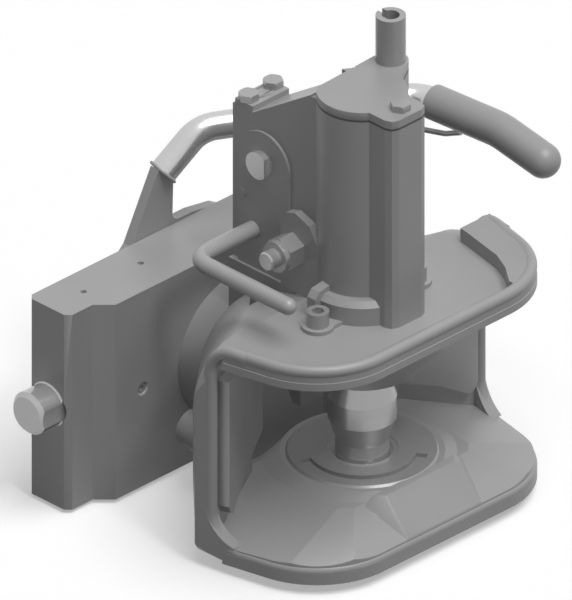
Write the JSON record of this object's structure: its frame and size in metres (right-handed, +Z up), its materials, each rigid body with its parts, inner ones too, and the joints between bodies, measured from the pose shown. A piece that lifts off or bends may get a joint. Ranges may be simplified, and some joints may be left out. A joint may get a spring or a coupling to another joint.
{
  "type": "trailer coupler",
  "caption": "Automatic trailer coupler: swivelling cast funnel jaw with a rising coupling pin and hand lever, on a slider with handle-drawn locking pins.",
  "frame": {"origin": "where the upright axis of the coupling pin meets the swivel axis of the jaw's shank", "axes": "+X to the right of the vehicle, +Y forward towards the tractor, +Z up; the jaw opens towards -Y"},
  "size_m": [0.3449, 0.2923, 0.3677],
  "materials": {
    "slider_plate": "satin grey paint",
    "front_swivel_bush": "plain bearing bronze",
    "rear_swivel_bush": "plain bearing bronze",
    "friction_disc": "plain machined steel",
    "retaining_ring": "plain machined steel",
    "guide_screws": "plain machined steel",
    "left_lock_spring": "plain machined steel",
    "right_lock_spring": "plain machined steel",
    "jaw_casting": "painted grey casting",
    "clamp_washer": "plain machined steel",
    "castle_nut": "plain machined steel",
    "split_pin": "plain machined steel",
    "wear_disc": "plain machined steel",
    "lower_bush": "plain machined steel",
    "guide_bush": "plain machined steel",
    "left_wear_plate": "plain machined steel",
    "right_wear_plate": "plain machined steel",
    "stop_bolts": "plain machined steel",
    "tower_housing": "painted grey casting",
    "cover_gasket": "black sealing sheet",
    "tower_cover": "satin grey paint",
    "cable_tube": "plain machined steel",
    "cover_bolt": "plain machined steel",
    "rear_lid": "satin grey paint",
    "lid_bolts": "plain machined steel",
    "tower_screws": "plain machined steel",
    "trigger_stud": "plain machined steel",
    "trigger_nut": "plain machined steel",
    "closing_spring": "plain machined steel",
    "lever_plate": "satin grey paint",
    "handle_tube": "satin grey paint",
    "handle_grip": "dull grey sleeve",
    "handle_bail": "plain machined steel",
    "left_locking_pin": "plain machined steel",
    "left_drive_stud": "plain machined steel",
    "right_locking_pin": "plain machined steel",
    "right_drive_stud": "plain machined steel",
    "coupling_pin": "plain machined steel",
    "hand_lever": "satin grey paint",
    "lever_crank": "plain machined steel",
    "crank_link_pin": "plain machined steel",
    "lift_shaft": "plain machined steel",
    "lift_arm": "plain machined steel",
    "lift_link_pin": "plain machined steel",
    "latch_cam": "plain machined steel",
    "remote_arm": "plain machined steel",
    "cable_anchor": "plain machined steel",
    "link_plate": "plain machined steel",
    "trigger_lever": "plain machined steel"
  },
  "bodies": {
    "slider": {"slider_plate": "slider_plate", "front_swivel_bush": "front_swivel_bush", "rear_swivel_bush": "rear_swivel_bush", "friction_disc": "friction_disc", "retaining_ring": "retaining_ring", "guide_screws": "guide_screws", "left_lock_spring": "left_lock_spring", "right_lock_spring": "right_lock_spring"},
    "jaw": {"jaw_casting": "jaw_casting", "clamp_washer": "clamp_washer", "castle_nut": "castle_nut", "split_pin": "split_pin", "wear_disc": "wear_disc", "lower_bush": "lower_bush", "guide_bush": "guide_bush", "left_wear_plate": "left_wear_plate", "right_wear_plate": "right_wear_plate", "stop_bolts": "stop_bolts", "tower_housing": "tower_housing", "cover_gasket": "cover_gasket", "tower_cover": "tower_cover", "cable_tube": "cable_tube", "cover_bolt": "cover_bolt", "rear_lid": "rear_lid", "lid_bolts": "lid_bolts", "tower_screws": "tower_screws", "trigger_stud": "trigger_stud", "trigger_nut": "trigger_nut", "closing_spring": "closing_spring"},
    "lock_handle": {"lever_plate": "lever_plate", "handle_tube": "handle_tube", "handle_grip": "handle_grip", "handle_bail": "handle_bail"},
    "left_lock": {"left_locking_pin": "left_locking_pin", "left_drive_stud": "left_drive_stud"},
    "right_lock": {"right_locking_pin": "right_locking_pin", "right_drive_stud": "right_drive_stud"},
    "pin": {"coupling_pin": "coupling_pin"},
    "hand_crank": {"hand_lever": "hand_lever", "lever_crank": "lever_crank", "crank_link_pin": "crank_link_pin"},
    "lift_gear": {"lift_shaft": "lift_shaft", "lift_arm": "lift_arm", "lift_link_pin": "lift_link_pin", "latch_cam": "latch_cam", "remote_arm": "remote_arm", "cable_anchor": "cable_anchor"},
    "link": {"link_plate": "link_plate"},
    "trigger": {"trigger_lever": "trigger_lever"}
  },
  "joints": [
    {"name": "jaw_swivel", "type": "hinge", "parent": "slider", "child": "jaw", "pos_m": [0, 0, 0], "axis": [0, 1, 0], "range_deg": [-20, 20]},
    {"name": "lock_handle_turn", "type": "hinge", "parent": "slider", "child": "lock_handle", "pos_m": [0, 0, 0], "axis": [0, 1, 0], "range_deg": [0, 25]},
    {"name": "left_lock_slide", "type": "slide", "parent": "slider", "child": "left_lock", "axis": [1, 0, 0], "range_m": [0, 0.024], "deforming": ["left_lock_spring"]},
    {"name": "right_lock_slide", "type": "slide", "parent": "slider", "child": "right_lock", "axis": [-1, 0, 0], "range_m": [0, 0.024], "deforming": ["right_lock_spring"]},
    {"name": "hand_lever_turn", "type": "hinge", "parent": "jaw", "child": "hand_crank", "pos_m": [0, 0.083, 0.1185], "axis": [-1, 0, 0], "range_deg": [0, 62]},
    {"name": "lift_shaft_turn", "type": "hinge", "parent": "jaw", "child": "lift_gear", "pos_m": [0, 0.075, 0.174], "axis": [-1, 0, 0], "range_deg": [0, 62]},
    {"name": "link_turn", "type": "hinge", "parent": "hand_crank", "child": "link", "pos_m": [0, 0.06414, 0.10717], "axis": [1, 0, 0], "range_deg": [0, 62]},
    {"name": "pin_lift", "type": "slide", "parent": "jaw", "child": "pin", "axis": [0, 0, 1], "range_m": [0, 0.085]},
    {"name": "trigger_turn", "type": "hinge", "parent": "jaw", "child": "trigger", "pos_m": [0, 0.04, 0.122], "axis": [1, 0, 0], "range_deg": [0, 12]}
  ],
  "couplings": [
    {"joint": "left_lock_slide", "follows": "lock_handle_turn", "m_per_rad": 0.055003},
    {"joint": "right_lock_slide", "follows": "lock_handle_turn", "m_per_rad": 0.055003},
    {"joint": "lift_shaft_turn", "follows": "hand_lever_turn", "ratio": 1},
    {"joint": "link_turn", "follows": "hand_lever_turn", "ratio": 1},
    {"joint": "pin_lift", "follows": "hand_lever_turn", "m_per_rad": 0.0785}
  ]
}
